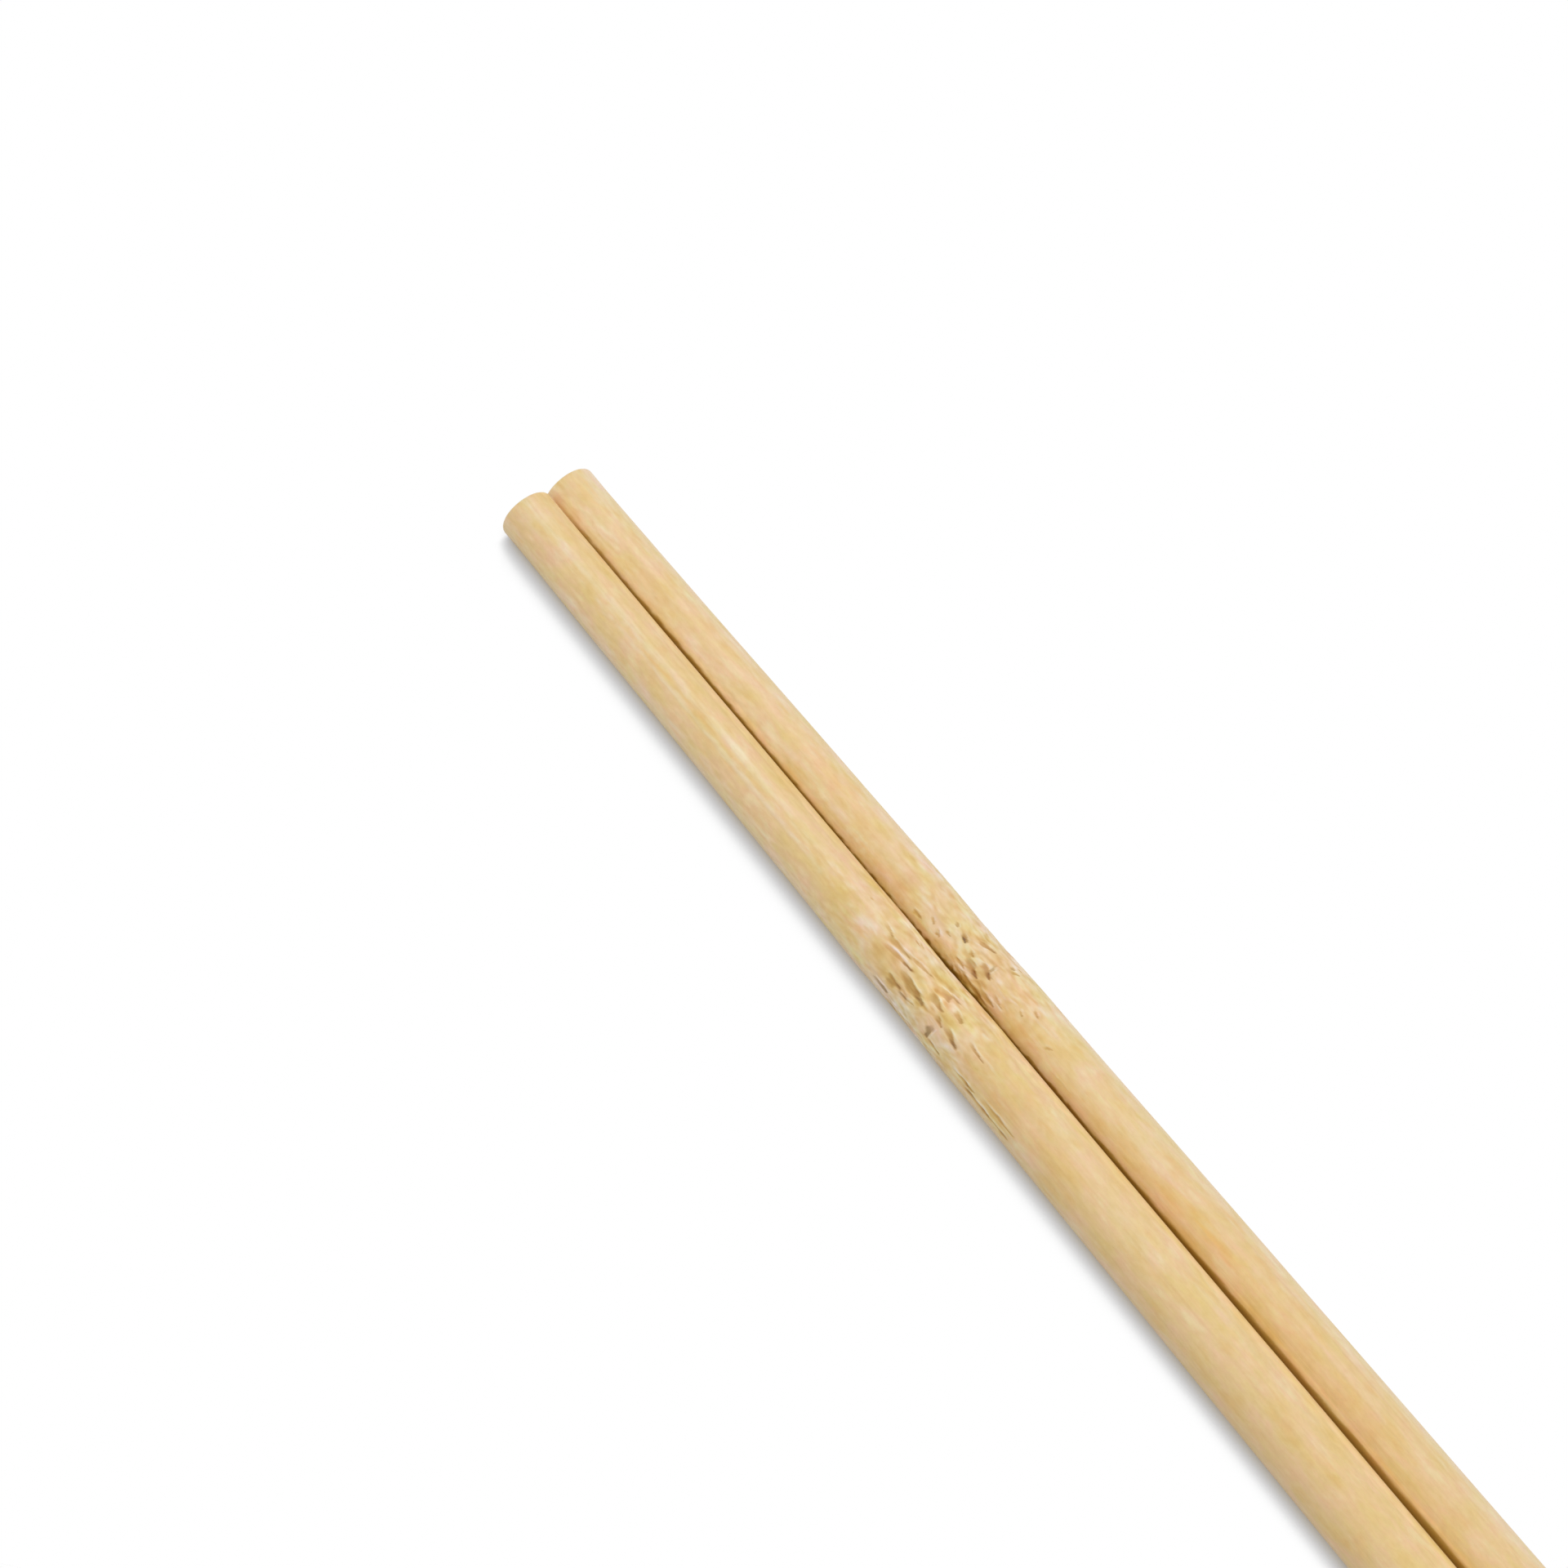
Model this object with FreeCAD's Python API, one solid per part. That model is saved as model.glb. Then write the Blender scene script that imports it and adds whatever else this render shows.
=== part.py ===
"""A pair of round bamboo chopsticks lying side by side on a table.

Each stick is one solid turned from bamboo: a long taper from the blunt tip to the thicker butt end,
with both end edges rounded. The bamboo's own joint crosses each stick near its tip as a knuckle,
two very low crowns with a shallow waist between them.

Millimetres. +Z is up and the table is z = 0. The sticks run along X, tips at -X, butt ends at +X,
and the pair is centred over the origin. Both sticks bear on the table and lie close to the middle
plane y = 0 with the same two places: the knuckle's crown nearer the butt, and the butt's rim.
"""

import FreeCAD, Part
import math
import os

# One stick
stick_length = 240.0
tip_diameter = 4.0
butt_diameter = 7.0
tip_edge_radius = 0.3
butt_edge_radius = 0.5

# The knuckle
knuckle_from_tip = 45.0     # tip face to the middle of the waist
crown_spacing = 10.0        # from one crown to the other
crown_runout = 4.5          # from each crown out to the plain taper
crown_height = 0.03         # above the taper
waist_depth = 0.05          # below the taper

# How the two sticks lie
side_gap = 0.1              # left between the sticks where they come closest
tip_stagger = 0.5           # how much further the right stick's tip reaches

LEFT, RIGHT = -1, 1
X_AXIS = FreeCAD.Vector(1, 0, 0)
Y_AXIS = FreeCAD.Vector(0, 1, 0)
Z_AXIS = FreeCAD.Vector(0, 0, 1)
ORIGIN = FreeCAD.Vector(0, 0, 0)


def taper_radius(x):
    """Radius of the plain taper at a distance x from the tip face."""
    return (tip_diameter + (butt_diameter - tip_diameter) * x / stick_length) / 2


def on_profile(x, proud=0.0):
    """A point of the stick's outline at a distance x from the tip face."""
    return FreeCAD.Vector(x, taper_radius(x) + proud, 0)


def knuckle_curve():
    """The outline over the knuckle: taper, crown, waist, crown, taper, smooth all the way."""
    near_crown = knuckle_from_tip - crown_spacing / 2
    far_crown = knuckle_from_tip + crown_spacing / 2
    points = [
        on_profile(near_crown - crown_runout),
        on_profile(near_crown, crown_height),
        on_profile(knuckle_from_tip, -waist_depth),
        on_profile(far_crown, crown_height),
        on_profile(far_crown + crown_runout),
    ]
    along_taper = points[-1] - points[0]
    curve = Part.BSplineCurve()
    curve.interpolate(Points=points, InitialTangent=along_taper, FinalTangent=along_taper)
    return curve.toShape()


def turned_stick():
    """One stick along +X, its tip face at x = 0."""
    knuckle = knuckle_curve()
    start, end = knuckle.Vertexes[0].Point, knuckle.Vertexes[-1].Point
    tip_centre, tip_rim = ORIGIN, on_profile(0)
    butt_centre, butt_rim = X_AXIS * stick_length, on_profile(stick_length)
    outline = Part.Wire([
        Part.makeLine(tip_centre, tip_rim),
        Part.makeLine(tip_rim, start),
        knuckle,
        Part.makeLine(end, butt_rim),
        Part.makeLine(butt_rim, butt_centre),
        Part.makeLine(butt_centre, tip_centre),
    ])
    stick = Part.Face(outline).revolve(ORIGIN, X_AXIS, 360)
    stick = round_rim(stick, tip_rim, tip_edge_radius)
    return round_rim(stick, butt_rim, butt_edge_radius)


def round_rim(stick, rim_point, radius):
    """The stick with the end edge that runs through rim_point rounded."""
    point = Part.Vertex(rim_point)
    rims = [e for e in stick.Edges if isinstance(e.Curve, Part.Circle) and e.distToShape(point)[0] < 1e-6]
    return stick.makeFillet(radius, rims)


def lean_angle():
    """Slope of the line from the crown nearer the butt to the butt's rim, against the stick's axis."""
    crown = on_profile(knuckle_from_tip + crown_spacing / 2, crown_height)
    rim = on_profile(stick_length - butt_edge_radius)
    return math.atan2(rim.y - crown.y, rim.x - crown.x)


def laid_down(stick, side):
    """The stick at rest on the table, on the left or the right of the middle plane."""
    lean = lean_angle()
    splay = math.asin(math.tan(lean))
    placed = stick.copy()
    placed.rotate(ORIGIN, Y_AXIS, -math.degrees(lean))
    placed.rotate(ORIGIN, Z_AXIS, side * math.degrees(splay))
    box = placed.optimalBoundingBox(False, False)
    inner_side = box.YMax if side == LEFT else box.YMin
    placed.translate(FreeCAD.Vector(
        -box.Center.x - side * tip_stagger / 2,
        side * side_gap / 2 - inner_side,
        -box.ZMin,
    ))
    return placed


stick = turned_stick()
os.makedirs("parts", exist_ok=True)
for name, side in (("left_chopstick", LEFT), ("right_chopstick", RIGHT)):
    shape = laid_down(stick, side)
    shape.exportStep(f"parts/{name}.step")
    box = shape.optimalBoundingBox(False, False)
    print(f"{name}: valid {shape.isValid()}, {len(shape.Solids)} solid, {shape.Volume:.1f} mm3, "
          f"x {box.XMin:.3f} to {box.XMax:.3f}, y {box.YMin:.3f} to {box.YMax:.3f}, "
          f"z {box.ZMin:.4f} to {box.ZMax:.3f}")
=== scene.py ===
# %% [markdown]
# # A pair of round bamboo chopsticks
# Two plain sticks lie side by side on a white surface. Each one tapers evenly from a blunt tip to a
# thicker butt end, and each was turned from one strip of bamboo, so there is one mesh per stick.
# This lesson replaces both plain CAD solids by meshes that carry what the eye sees up close: the
# knuckle where the cane's joint was sanded away, its torn fibres, and the sawn end grain.
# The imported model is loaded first, because everything else is placed by it.

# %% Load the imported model
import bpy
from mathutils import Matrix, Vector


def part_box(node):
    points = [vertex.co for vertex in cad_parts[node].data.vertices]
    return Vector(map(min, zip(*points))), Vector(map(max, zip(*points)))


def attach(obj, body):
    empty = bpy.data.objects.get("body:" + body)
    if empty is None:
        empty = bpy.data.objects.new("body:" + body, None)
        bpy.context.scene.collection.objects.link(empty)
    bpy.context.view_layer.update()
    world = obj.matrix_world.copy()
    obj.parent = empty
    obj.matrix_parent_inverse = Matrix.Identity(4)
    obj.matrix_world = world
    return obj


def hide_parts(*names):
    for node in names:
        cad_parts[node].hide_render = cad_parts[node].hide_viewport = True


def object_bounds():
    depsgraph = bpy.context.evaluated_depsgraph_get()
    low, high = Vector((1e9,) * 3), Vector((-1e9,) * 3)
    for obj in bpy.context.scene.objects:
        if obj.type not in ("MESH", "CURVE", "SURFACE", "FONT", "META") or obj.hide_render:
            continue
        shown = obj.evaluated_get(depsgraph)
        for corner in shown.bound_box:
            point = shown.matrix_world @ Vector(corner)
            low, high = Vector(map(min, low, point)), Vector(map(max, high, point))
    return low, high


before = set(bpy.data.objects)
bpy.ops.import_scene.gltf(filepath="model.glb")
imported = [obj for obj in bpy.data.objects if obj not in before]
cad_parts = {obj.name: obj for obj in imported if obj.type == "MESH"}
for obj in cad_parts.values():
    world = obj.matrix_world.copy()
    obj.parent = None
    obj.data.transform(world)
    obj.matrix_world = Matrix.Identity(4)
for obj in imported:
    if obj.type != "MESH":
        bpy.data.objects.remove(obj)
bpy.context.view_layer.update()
print("CAD nodes:", sorted(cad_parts))

# %% What the script needs besides
import math
import random
from collections import namedtuple
import bmesh
import bpy
import numpy as np
from mathutils import Matrix, Vector, noise

MM = 0.001
STICKS = ("left_chopstick", "right_chopstick")

# %% [markdown]
# ## The sizes of one stick
# The sticks are modelled in millimetres along their own X axis, tip at zero, and only the finished
# mesh is shrunk to metres and laid in its place. That keeps the numbers easy to read: a torn fibre
# is 1.5 long and 0.3 wide, as you would measure it with a loupe.

# %% Sizes of one stick, in millimetres
stick_length = 240.0
tip_radius = 2.0
butt_radius = 3.5
tip_edge_radius = 0.3
butt_edge_radius = 0.5
knuckle_from_tip = 45.0
crown_spacing = 10.0
crown_height = 0.03
waist_depth = 0.05


def taper_radius(x):
    """Radius of the plain taper at a distance x from the tip."""
    return tip_radius + (butt_radius - tip_radius) * x / stick_length


print("radius at the knuckle:", taper_radius(knuckle_from_tip), "mm")

# %% [markdown]
# ## A tapered rod from a cone
# A cone from `create_cone` is already the right taper. Its two end rims are bevelled round, and the
# long sides are then cut into rings with `subdivide_edges`. The rings are packed closely only at the
# knuckle, where the torn fibres need them, so the mesh stays light where the bamboo is smooth.
# Around the stick the mesh is fine everywhere, because bamboo fibres run lengthways and what varies
# round the stick is far narrower than what varies along it. The flat ends are inset into rings too,
# so that saw marks can be pressed into them.

# %% Find edges on the rod
SAME_PLANE = 1e-4
LONG_ENOUGH = 0.9


def rim_edges(bm, x):
    """The edges that lie wholly in the plane at x."""
    return [e for e in bm.edges if all(abs(v.co.x - x) < SAME_PLANE for v in e.verts)]


def long_edges(bm, x0, x1):
    """The edges that run lengthways between x0 and x1."""
    found = []
    for edge in bm.edges:
        low, high = sorted(v.co.x for v in edge.verts)
        if low > x0 - 1e-3 and high < x1 + 1e-3 and high - low > LONG_ENOUGH * (x1 - x0):
            found.append(edge)
    return found


# %% Finish the rod's two ends
TIP_BEVEL_STEPS = 5
BUTT_BEVEL_STEPS = 6
TIP_RINGS = 7
BUTT_RINGS = 10
MIDDLE_RADIUS = 0.15


def round_off(bm, x, radius, segments):
    """Bevels the rim at x to a quarter round."""
    bmesh.ops.bevel(bm, geom=rim_edges(bm, x), offset=radius, offset_type="OFFSET", segments=segments,
                    profile=0.5, affect="EDGES", material=-1, clamp_overlap=True)


def ring_the_end(bm, x, rim, rings):
    """Insets the flat end at x into rings and closes its middle with a fan."""
    flat = [f for f in bm.faces if all(abs(v.co.x - x) < SAME_PLANE for v in f.verts)]
    end = max(flat, key=lambda f: f.calc_area())
    for _ in range(rings):
        bmesh.ops.inset_individual(bm, faces=[end], thickness=(rim - MIDDLE_RADIUS) / rings,
                                   use_even_offset=True)
    bmesh.ops.poke(bm, faces=[end])


# %% Build the plain rod
SEGMENTS = 216

# Each zone: where it starts, where it ends, and how far apart its rings are
RING_ZONES = ((0.3, 34.0, 0.50), (34.0, 40.0, 0.20), (40.0, 52.0, 0.10), (52.0, 58.0, 0.15),
              (58.0, 96.0, 0.90), (96.0, 239.5, 1.50))
NEAR_ZONE = 0.2


def plain_rod():
    """A stick without its knuckle or grain, tip at x = 0, as a bmesh in millimetres."""
    bm = bmesh.new()
    bmesh.ops.create_cone(bm, cap_ends=True, cap_tris=False, segments=SEGMENTS,
                          radius1=tip_radius, radius2=butt_radius, depth=stick_length)
    bmesh.ops.translate(bm, verts=bm.verts, vec=(0, 0, stick_length / 2))
    bmesh.ops.rotate(bm, verts=bm.verts, cent=(0, 0, 0), matrix=Matrix.Rotation(math.radians(90), 3, "Y"))
    round_off(bm, 0.0, tip_edge_radius, TIP_BEVEL_STEPS)
    round_off(bm, stick_length, butt_edge_radius, BUTT_BEVEL_STEPS)
    for start, _, _ in RING_ZONES[1:]:
        bmesh.ops.bisect_plane(bm, geom=bm.verts[:] + bm.edges[:] + bm.faces[:], dist=SAME_PLANE,
                               plane_co=(start, 0, 0), plane_no=(1, 0, 0))
    for start, end, spacing in RING_ZONES:
        low = min((v.co.x for v in bm.verts if v.co.x > start - NEAR_ZONE), default=start)
        high = max((v.co.x for v in bm.verts if v.co.x < end + NEAR_ZONE), default=end)
        cuts = round((high - low) / spacing) - 1
        bmesh.ops.subdivide_edges(bm, edges=long_edges(bm, low, high), cuts=cuts, use_grid_fill=True)
    ring_the_end(bm, 0.0, tip_radius - tip_edge_radius, TIP_RINGS)
    ring_the_end(bm, stick_length, butt_radius - butt_edge_radius, BUTT_RINGS)
    bmesh.ops.recalc_face_normals(bm, faces=bm.faces)
    return bm


# %% [markdown]
# ## What happened to the fibres at the knuckle
# At the knuckle the fibres swerve and branch, so the cutter tore some of them out. Each tear starts
# broad and shallow and runs out towards the butt end in a deep, ragged point, which a grey painted
# shade darkens. Beside it a lip of fibres stands a little proud. A few fibres were only lifted: they
# are ridges, which catch the light. Lips and ridges are tinted pale, partly for pale fibre and partly
# as a painted highlight. The tears are darker than the wood around them, partly by the ochre of torn
# fibre and partly by painted shade in their pits, each in its own way, so every one names its tint.
# A tint multiplies the bamboo's colour, and 1 leaves it as it is. Tints are added up as logarithms,
# so their order is no matter, and a strength of 0.5 gives half of a tint.

# %% The tints
TINTS = {
    # ochre to dark: the colour of torn fibre, with painted shade in the deeper tears and pits
    "ochre": (0.79, 0.67, 0.43),
    "brown": (0.69, 0.56, 0.36),
    "grey": (0.66, 0.60, 0.48),
    "stone": (0.54, 0.49, 0.38),
    "dark": (0.34, 0.28, 0.17),
    # painted shade in the cleft, and painted light where it works the other way at the tips
    "cleft": (0.50, 0.38, 0.12),
    # paler wood and pale fibre, and also painted highlights and painted reflections
    "pale_and_painted_highlight": (1.04, 1.17, 1.50),
    "pink": (1.03, 1.01, 1.16),
    "yellow": (0.985, 1.00, 0.84),
    "orange": (1.00, 0.90, 0.72),
    # painted light: the bamboo made brighter where light falls on it or is thrown across
    "painted_light": (1.10, 1.10, 1.10),
}


def tinted(weight, tint):
    """The logarithm of a tint at every point, by its weight there."""
    return np.outer(weight, np.log(TINTS[tint]))


# %% [markdown]
# The larger marks are placed one by one, by their distance from the tip and their angle round the
# stick: 0 points at +Y and 90 straight up. Depths, like all sizes here, are in millimetres, and the
# slant is the angle that a mark makes with the stick. Scattering them all would be quicker, but the
# eye knows a knuckle by its few large tears, and no two are alike. Each kind of mark is a named tuple,
# which gives the columns of its list their names.

# %% The tears on the side that faces up
Tear = namedtuple("Tear", "x angle length width depth slant tint")
LEFT_TEARS = (
    (43.0, 185, 1.7, 0.44, 0.07, 3, "stone"),
    (43.6, 160, 1.5, 0.62, 0.10, -4, "brown"),
    (44.7, 162, 1.1, 0.22, 0.07, -5, "grey"),
    (44.7, 139, 3.0, 0.58, 0.12, 9, "brown"),
    (45.8, 145, 0.9, 0.20, 0.06, 12, "grey"),
    (42.5, 124, 3.2, 0.28, 0.04, -7, "ochre"),
    (43.5, 121, 1.0, 0.18, 0.04, -5, "brown"),
    (42.0, 112, 2.6, 0.34, 0.05, -4, "ochre"),
    (43.8, 104, 3.0, 0.24, 0.04, -8, "ochre"),
    (40.8, 105, 1.2, 0.30, 0.03, 10, "ochre"),
    (46.6, 123, 1.8, 0.48, 0.09, 7, "brown"),
    (46.5, 104, 1.4, 0.60, 0.04, -6, "ochre"),
    (47.2, 94, 1.2, 0.30, 0.06, -6, "brown"),
    (47.8, 140, 1.1, 0.32, 0.07, 14, "brown"),
    (49.1, 141, 1.8, 0.40, 0.09, 13, "brown"),
    (49.4, 144, 0.9, 0.20, 0.05, 10, "grey"),
    (48.3, 110, 1.0, 0.32, 0.05, 14, "ochre"),
    (47.7, 164, 1.2, 0.52, 0.12, 84, "stone"),
    (48.5, 178, 1.6, 0.22, 0.07, 8, "brown"),
    (50.9, 125, 1.9, 0.22, 0.06, 6, "brown"),
    (51.6, 174, 2.4, 0.20, 0.05, -2, "ochre"),
    (53.6, 183, 5.6, 0.20, 0.05, 1, "ochre"),
    (52.5, 181, 1.0, 0.28, 0.05, 0, "brown"),
    (54.1, 184, 0.9, 0.26, 0.04, 0, "ochre"),
    (56.0, 184, 1.1, 0.26, 0.04, 0, "ochre"),
    (55.0, 168, 3.4, 0.18, 0.04, 0, "ochre"),
)
RIGHT_TEARS = (
    (44.3, 111, 0.90, 0.36, 0.14, 14, "brown"),
    (44.4, 114, 0.60, 0.22, 0.10, 16, "dark"),
    (43.3, 107, 0.50, 0.28, 0.07, 30, "brown"),
    (43.4, 127, 0.50, 0.22, 0.05, 10, "ochre"),
    (42.9, 141, 0.70, 0.22, 0.05, 30, "ochre"),
    (42.0, 133, 0.60, 0.20, 0.04, 24, "ochre"),
    (40.9, 147, 0.90, 0.34, 0.04, -14, "ochre"),
    (46.1, 136, 1.70, 0.70, 0.10, 8, "brown"),
    (46.6, 139, 0.90, 0.24, 0.06, 8, "brown"),
    (45.5, 120, 0.60, 0.26, 0.05, 0, "ochre"),
    (46.9, 120, 1.50, 0.48, 0.08, 8, "brown"),
    (47.4, 123, 0.60, 0.24, 0.06, 20, "ochre"),
    (47.2, 110, 1.00, 0.18, 0.05, 80, "grey"),
    (45.7, 90, 1.60, 0.28, 0.08, -20, "brown"),
    (47.9, 80, 0.40, 0.26, 0.07, 0, "brown"),
    (48.3, 84, 0.80, 0.22, 0.05, -30, "ochre"),
    (46.8, 159, 4.20, 0.40, 0.07, 2, "ochre"),
    (48.4, 150, 1.60, 0.26, 0.05, 6, "ochre"),
    (45.3, 147, 1.20, 0.24, 0.05, 0, "ochre"),
    (49.0, 140, 1.40, 0.20, 0.04, 8, "ochre"),
    (51.4, 104, 0.60, 0.20, 0.05, 20, "ochre"),
    (50.7, 123, 0.50, 0.20, 0.05, 10, "ochre"),
    (53.7, 128, 0.60, 0.18, 0.04, -30, "ochre"),
)
print("tears placed by hand:", len(LEFT_TEARS), "and", len(RIGHT_TEARS))

# %% The lifted fibres
Ridge = namedtuple("Ridge", "x angle length width height slant")
LEFT_RIDGES = (
    (33.0, 123, 1.2, 0.20, 0.014, 0),
    (42.3, 118, 1.8, 0.20, 0.014, -3),
    (42.9, 171, 1.6, 0.22, 0.018, 0),
    (45.0, 130, 2.2, 0.22, 0.016, 6),
    (47.0, 115, 1.2, 0.22, 0.014, 8),
    (49.2, 133, 1.6, 0.22, 0.016, 10),
    (50.5, 95, 1.0, 0.34, 0.014, -10),
    (51.6, 170, 3.0, 0.22, 0.020, -2),
    (52.0, 121, 3.2, 0.22, 0.016, 2),
    (53.8, 178, 4.6, 0.22, 0.020, 1),
    (54.6, 164, 4.0, 0.22, 0.020, -1),
    (56.2, 172, 2.0, 0.20, 0.018, 2),
)
RIGHT_RIDGES = (
    (44.8, 155, 1.6, 0.18, 0.014, 2),
    (45.6, 97, 1.2, 0.20, 0.014, -20),
    (46.0, 117, 1.2, 0.40, 0.018, 12),
    (46.0, 130, 1.0, 0.24, 0.016, 6),
    (46.9, 132, 1.0, 0.30, 0.016, 14),
    (47.6, 144, 1.8, 0.26, 0.020, 12),
    (48.2, 117, 1.5, 0.44, 0.018, -14),
    (48.9, 126, 1.4, 0.26, 0.016, 6),
    (48.9, 149, 1.5, 0.24, 0.018, 10),
    (49.2, 142, 1.6, 0.22, 0.018, 12),
    (49.6, 134, 1.4, 0.20, 0.014, 8),
    (49.8, 120, 1.4, 0.22, 0.014, 0),
    (52.2, 109, 2.8, 0.22, 0.014, -2),
    (56.0, 145, 2.4, 0.20, 0.018, 0),
)
print("lifted fibres:", len(LEFT_RIDGES), "and", len(RIGHT_RIDGES))

# %% [markdown]
# Bamboo is never one even colour. Sap stained it orange here and there, and where the cutter went
# deeper it shows paler wood. Other patches are painted light: the bright ones lighten flanks and the
# edges beside the cleft, and some long pale ones are painted highlights and painted reflections. All
# are soft ovals, small ones at the knuckle and long faint ones along the rest, placed one by one like
# the tears.

# %% Soft patches of another colour, and of painted light
Patch = namedtuple("Patch", "x angle length width tint strength")
# Tinted bright: painted light. Painted highlights: the long pale streaks at angles 109 to 130 near the tip.
# Painted reflections: the pale bands low on the flank, at 188 and 192.
LEFT_PATCHES = (
    (2.0, 110, 5.0, 2.00, "pale_and_painted_highlight", 0.35),
    (8.0, 113, 17.0, 0.60, "pale_and_painted_highlight", 0.75),
    (14.0, 180, 60.0, 2.40, "painted_light", 0.9),
    (19.0, 121, 22.0, 0.30, "orange", 0.30),
    (23.0, 130, 25.0, 0.36, "pale_and_painted_highlight", 0.85),
    (24.0, 192, 80.0, 1.80, "pale_and_painted_highlight", 0.8),
    (25.0, 109, 22.0, 0.60, "pale_and_painted_highlight", 0.75),
    (34.5, 90, 5.0, 0.80, "pink", 0.8),
    (37.0, 120, 3.0, 1.00, "yellow", 0.9),
    (37.6, 111, 2.2, 0.80, "ochre", 0.35),
    (39.6, 131, 1.7, 1.10, "pale_and_painted_highlight", 0.85),
    (39.6, 146, 1.8, 0.50, "orange", 0.7),
    (40.0, 90, 2.4, 0.90, "pink", 0.8),
    (40.5, 113, 1.2, 0.80, "pale_and_painted_highlight", 0.35),
    (43.6, 124, 4.6, 0.60, "pink", 1.0),
    (44.0, 188, 8.0, 0.80, "pale_and_painted_highlight", 0.5),
    (44.5, 68, 6.0, 1.20, "pale_and_painted_highlight", 0.9),
    (44.6, 117, 1.6, 0.50, "pale_and_painted_highlight", 0.7),
    (45.8, 171, 2.4, 0.90, "pale_and_painted_highlight", 0.7),
    (46.2, 150, 1.8, 0.80, "pale_and_painted_highlight", 0.3),
    (46.4, 115, 2.4, 2.60, "painted_light", 0.7),
    (46.6, 104, 1.6, 0.80, "orange", 0.6),
    (47.2, 110, 1.0, 0.60, "pink", 0.8),
    (48.9, 100, 1.4, 0.70, "yellow", 1.2),
    (48.9, 162, 2.4, 1.00, "pale_and_painted_highlight", 0.8),
    (50.5, 95, 1.4, 0.50, "pale_and_painted_highlight", 0.7),
    (54.0, 106, 4.0, 0.90, "yellow", 0.9),
    (55.0, 120, 7.0, 1.70, "ochre", 0.14),
    (57.0, 143, 9.0, 1.10, "orange", 0.55),
    (58.5, 98, 3.0, 1.10, "pale_and_painted_highlight", 0.5),
    (61.0, 128, 4.0, 0.90, "orange", 0.40),
    (67.0, 118, 6.0, 1.20, "pale_and_painted_highlight", 0.35),
    (70.0, 56, 240.0, 1.00, "painted_light", 0.8),
    (72.0, 74, 9.0, 1.00, "pale_and_painted_highlight", 0.35),
    (73.0, 105, 10.0, 1.00, "yellow", 0.7),
    (76.0, 91, 14.0, 0.50, "pale_and_painted_highlight", 0.35),
    (86.0, 128, 9.0, 1.60, "orange", 0.25),
    (92.0, 112, 12.0, 3.00, "yellow", 0.55),
    (100.0, 63, 120.0, 1.20, "painted_light", 0.9),
)
# Tinted bright: painted light. The long pale bands at 147 near the tip and at 62 along the whole stick are
# painted light and a painted reflection.
RIGHT_PATCHES = (
    (2.5, 80, 6.0, 1.40, "pale_and_painted_highlight", 0.4),
    (9.0, 147, 32.0, 1.10, "painted_light", 0.9),
    (14.0, 147, 42.0, 1.60, "pale_and_painted_highlight", 0.8),
    (29.5, 108, 6.0, 1.00, "orange", 0.45),
    (34.0, 136, 5.0, 0.30, "pale_and_painted_highlight", 0.5),
    (37.0, 140, 6.0, 0.80, "orange", 0.6),
    (37.5, 118, 3.4, 0.70, "pale_and_painted_highlight", 0.35),
    (39.0, 110, 3.0, 1.00, "ochre", 0.2),
    (41.0, 150, 1.6, 0.40, "yellow", 1.2),
    (42.8, 126, 4.6, 1.90, "pale_and_painted_highlight", 0.8),
    (44.5, 145, 8.0, 1.20, "painted_light", 0.8),
    (44.9, 128, 1.0, 1.40, "yellow", 0.9),
    (46.2, 147, 1.6, 0.60, "pale_and_painted_highlight", 0.3),
    (48.6, 140, 1.6, 0.50, "pink", 0.9),
    (48.7, 118, 2.2, 1.00, "pink", 0.7),
    (49.8, 98, 2.4, 0.90, "orange", 0.5),
    (51.0, 120, 4.0, 1.40, "yellow", 0.8),
    (51.5, 140, 3.4, 0.80, "orange", 0.6),
    (52.5, 88, 4.4, 0.60, "pale_and_painted_highlight", 0.6),
    (55.5, 128, 2.6, 0.80, "yellow", 0.6),
    (56.0, 122, 10.0, 1.40, "pale_and_painted_highlight", 0.35),
    (60.0, 62, 400.0, 1.80, "pale_and_painted_highlight", 0.75),
    (63.0, 92, 3.6, 0.90, "pale_and_painted_highlight", 0.4),
    (63.0, 112, 8.0, 0.90, "pale_and_painted_highlight", 0.35),
    (66.5, 135, 2.4, 0.90, "orange", 0.90),
    (70.2, 124, 3.0, 0.80, "orange", 0.90),
    (72.0, 122, 10.0, 0.80, "yellow", 0.8),
    (76.0, 132, 34.0, 1.90, "orange", 0.45),
    (79.0, 97, 1.6, 0.50, "orange", 0.70),
    (84.0, 104, 10.0, 0.70, "pink", 0.6),
    (94.0, 142, 12.0, 1.20, "yellow", 0.8),
)
print("soft patches:", len(LEFT_PATCHES), "and", len(RIGHT_PATCHES))

# %% [markdown]
# The far side of each knuckle is torn as well. Those tears are scattered at random, from a fixed
# seed, so that every run gives the same stick.

# %% The marks of each stick
def marks(kind, left_rows, right_rows):
    """Both sticks' marks of one kind, by the stick's name."""
    return {"left_chopstick": [kind(*row) for row in left_rows],
            "right_chopstick": [kind(*row) for row in right_rows]}


TEARS = marks(Tear, LEFT_TEARS, RIGHT_TEARS)
RIDGES = marks(Ridge, LEFT_RIDGES, RIGHT_RIDGES)
PATCHES = marks(Patch, LEFT_PATCHES, RIGHT_PATCHES)

# %% Scatter tears over the rest of the knuckle
SEEDS = {"left_chopstick": 11, "right_chopstick": 42}
FAR_SIDE = {"left_chopstick": (205, 400), "right_chopstick": (175, 400)}
FAR_SIDE_TEARS = 26
SMALL_TEARS = 12


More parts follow.
